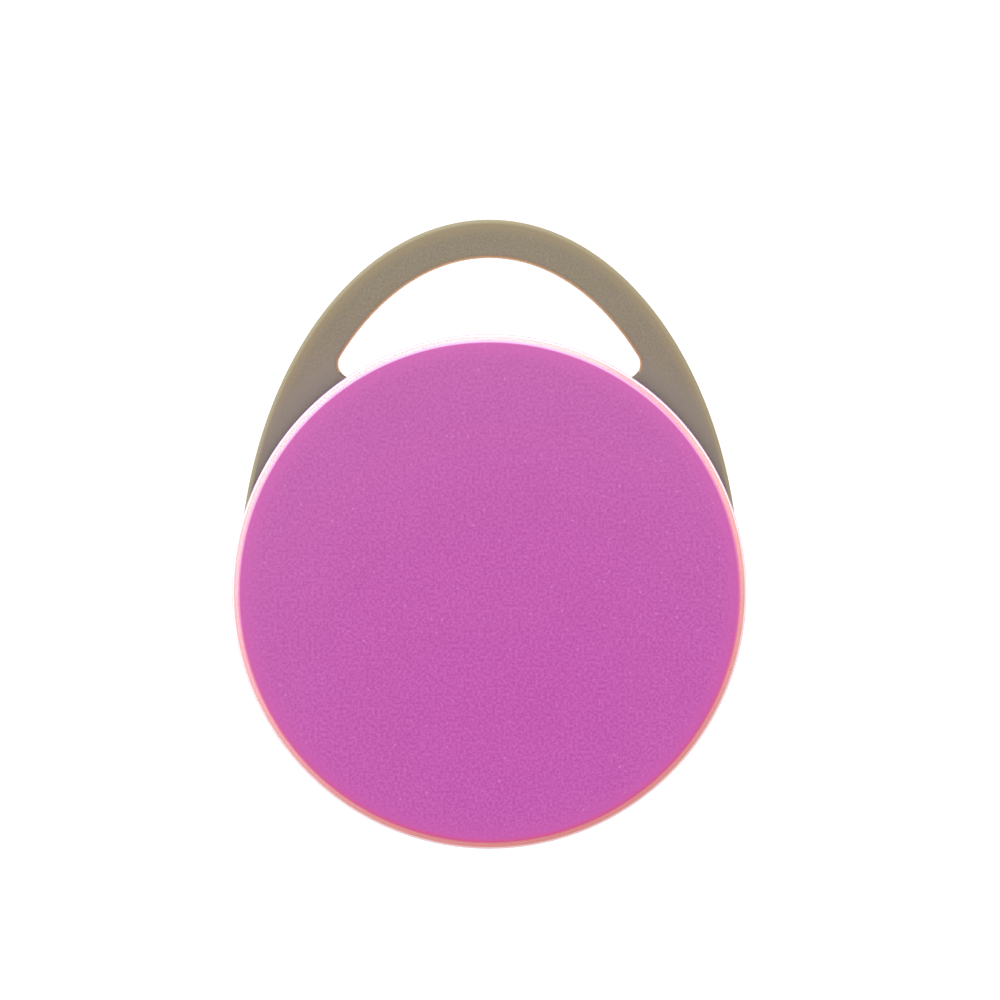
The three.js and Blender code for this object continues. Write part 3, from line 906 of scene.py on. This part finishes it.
def make_plus(back):
    """The two bars that cut a plus sign into the can's flat end."""
    arm, half = 1.6 * MM, 0.22 * MM
    plus_z = CELL_Z - 5.6 * MM
    low, high = back - 0.02 * MM, back + MM
    return [
        block("bar", (-arm, low, plus_z - half), (arm, high, plus_z + half)),
        block("bar", (-half, low, plus_z - arm), (half, high, plus_z + arm)),
    ]


def make_cell_can():
    """The cell's steel can: a drawn cup with a rounded foot, a stamped ring and a plus sign."""
    lip, back = cell_low.y, cell_high.y  # the open end, and the flat end towards the rear cover
    can = rod("cell_can_part", CELL_RADIUS, lip, back, z=CELL_Z, sides=MIDDLE * 2)
    hollow_can(can, lip, back)
    stamp_ring(can, back)
    round_edges(can, lambda edge: is_can_rim(edge, back), 0.4 * MM, 6)
    round_edges(can, lambda edge: is_can_rim(edge, lip), 0.18 * MM, 4)
    combine(can, "DIFFERENCE", *make_plus(back))
    return place(smooth(tidy_mesh(can), 30), "tag", turned_steel, "cell_can", slot="nickel_steel")


# ---- Everything else that the tag holds, from the frame's own shapes with softened edges ----

def finish_node(node, body, material, slot, width):
    """A merged copy of a frame node, with its edges rounded where width, in mm, isn't 0."""
    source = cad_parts[node]
    piece = bpy.data.objects.new(node + "_part", source.data.copy())
    piece.matrix_world = source.matrix_world.copy()
    bpy.context.scene.collection.objects.link(piece)
    set_down(piece)
    tidy_mesh(piece)
    with editing(piece):
        bpy.ops.mesh.select_all(action="SELECT")
        bpy.ops.mesh.dissolve_limited(angle_limit=math.radians(1))
    if width:
        soften(piece, width * MM, 3, 30)
    return place(smooth(piece, 32), body, material, node, slot=slot)


# For each node: its body, its material, its slot, and how wide its edges are rounded, in mm.
INSIDE = {
    "front_gasket": ("tag", rubber, "seal_rubber", 0.05),
    "rear_seal": ("tag", rubber, "seal_rubber", 0.05),
    "sound_membrane": ("battery_door", membrane, "membrane", 0.02),
    "circuit_board": ("tag", board_laminate, "board_laminate", 0.03),
    "switch_base": ("tag", black_plastic, "black_plastic", 0.06),
    "switch_dome": ("tag", spring_steel, "spring_steel", 0.0),
    "switch_plunger": ("plunger", white_plastic, "white_plastic", 0.08),
    "switch_lid": ("tag", plated_steel, "nickel_steel", 0.04),
    "cell_gasket": ("tag", white_plastic, "white_plastic", 0.03),
    "cell_cap": ("tag", turned_steel, "nickel_steel", 0.04),
    "cell_cathode": ("tag", pellet, "cell_pellet", 0.08),
    "cell_separator": ("tag", membrane, "membrane", 0.02),
    "cell_anode": ("tag", lithium, "cell_lithium", 0.05),
    "battery_cradle": ("tag", black_plastic, "black_plastic", 0.08),
    "positive_contact": ("tag", gold_plate, "spring_steel", 0.03),
    "negative_contact": ("tag", gold_plate, "spring_steel", 0.03),
    "sounder_case": ("tag", black_plastic, "black_plastic", 0.1),
    "sounder_lid": ("tag", black_plastic, "black_plastic", 0.1),
    "sounder_diaphragm": ("tag", spring_steel, "spring_steel", 0.0),
    "sounder_magnet": ("tag", ferrite, "ferrite", 0.06),
    "sounder_coil": ("tag", coil_copper, "coil_copper", 0.05),
    "bluetooth_chip": ("tag", black_plastic, "black_plastic", 0.05),
    "main_crystal": ("tag", plated_steel, "nickel_steel", 0.08),
    "clock_crystal": ("tag", plated_steel, "nickel_steel", 0.08),
    "chip_antenna": ("tag", white_ceramic, "white_ceramic", 0.06),
    "antenna_inductor": ("tag", white_ceramic, "white_ceramic", 0.04),
    "boost_coil": ("tag", ferrite, "ferrite", 0.08),
    "driver_transistor": ("tag", black_plastic, "black_plastic", 0.05),
    "bulk_capacitor": ("tag", tan_ceramic, "tan_ceramic", 0.08),
}
for number in range(1, 5):
    INSIDE[f"board_screw_{number}"] = ("tag", plated_steel, "nickel_steel", 0.05)
    INSIDE[f"capacitor_{number}"] = ("tag", tan_ceramic, "tan_ceramic", 0.05)

make_cell_can()
for node, look in INSIDE.items():
    finish_node(node, *look)


# ---- Camera and light ----

def make_camera():
    """A long lens, almost square on to the face, from a little above the disc's centre."""
    camera = bpy.data.objects.new("camera", bpy.data.cameras.new("camera"))
    bpy.context.scene.collection.objects.link(camera)
    camera.data.lens = LENS
    camera.data.sensor_width = SENSOR
    distance = VIEW_WIDTH * LENS / SENSOR
    aim = Vector((AIM_SIDE, -FACE, CENTRE + AIM_RISE))
    camera.location = Vector((0, -FACE - distance, CENTRE + CAMERA_RISE))
    camera.rotation_mode = "QUATERNION"
    camera.rotation_quaternion = (aim - camera.location).to_track_quat("-Z", "Y")
    camera.data.clip_start = 0.01
    camera.data.clip_end = 20
    bpy.context.scene.camera = camera


def towards(nodes, across, up, degrees):
    """How much a direction points to an angle counted from +X towards +Z, from -1 to 1."""
    angle = math.radians(degrees)
    sideways = nodes.math("MULTIPLY", across, math.cos(angle))
    return nodes.math("ADD", sideways, nodes.math("MULTIPLY", up, math.sin(angle)))


def make_studio_light(nodes):
    """Strength and color of the light from each direction."""
    across, along, up = nodes.parts(nodes.add("ShaderNodeTexCoord").outputs["Generated"])
    depth = nodes.math("ABSOLUTE", along)
    lobe = nodes.math("MULTIPLY", nodes.math("POWER", depth, FACE_POWER), FACE_LIGHT)
    near_band = towards(nodes, across, up, BAND_ANGLE)
    share = nodes.math("MULTIPLY", nodes.math("ADD", near_band, 1.0), 0.5)
    band = nodes.ramp(depth, BAND_WIDTH, 0.0)
    shape = nodes.math("MULTIPLY", nodes.math("POWER", share, BAND_POWER), band)
    near_gap = towards(nodes, across, up, GAP_ANGLE)
    gap_edge, gap_core = math.cos(math.radians(GAP_HALF)), math.cos(math.radians(GAP_CORE))
    gap = nodes.ramp(near_gap, gap_edge, gap_core)
    dimmed = nodes.math("SUBTRACT", 1.0, nodes.math("MULTIPLY", gap, GAP_DEPTH))
    glow = nodes.math("MULTIPLY", nodes.math("MULTIPLY", shape, BAND_STRENGTH), dimmed)
    light = nodes.math("ADD", nodes.math("ADD", glow, lobe), SIDE_LIGHT)
    plain_color = nodes.mix(nodes.ramp(across, -0.5, 0.8), BAND_COOL, BAND_WARM)
    band_color = nodes.mix(gap, plain_color, GAP_COLOR)
    return light, nodes.mix(nodes.math("DIVIDE", glow, light), WHITE, band_color)


def make_world():
    """White on every side, stronger square on to the faces, with a bright band in the tag's own plane.

    The band is strongest above and a little to the left, with a dimmer gap at the upper right. It lights
    the round edges and leaves the two faces alone.
    """
    world = bpy.data.worlds.new("studio")
    world.use_nodes = True
    nodes = Nodes(world.node_tree)
    light, tint = make_studio_light(nodes)
    seen = nodes.add("ShaderNodeLightPath").outputs["Is Camera Ray"]
    background = world.node_tree.nodes["Background"].inputs
    nodes.link(nodes.mix(seen, tint, WHITE), background["Color"])
    nodes.link(nodes.blend(seen, light, BACKDROP), background["Strength"])
    bpy.context.scene.world = world


make_camera()
make_world()
bpy.context.scene.view_settings.view_transform = "Standard"
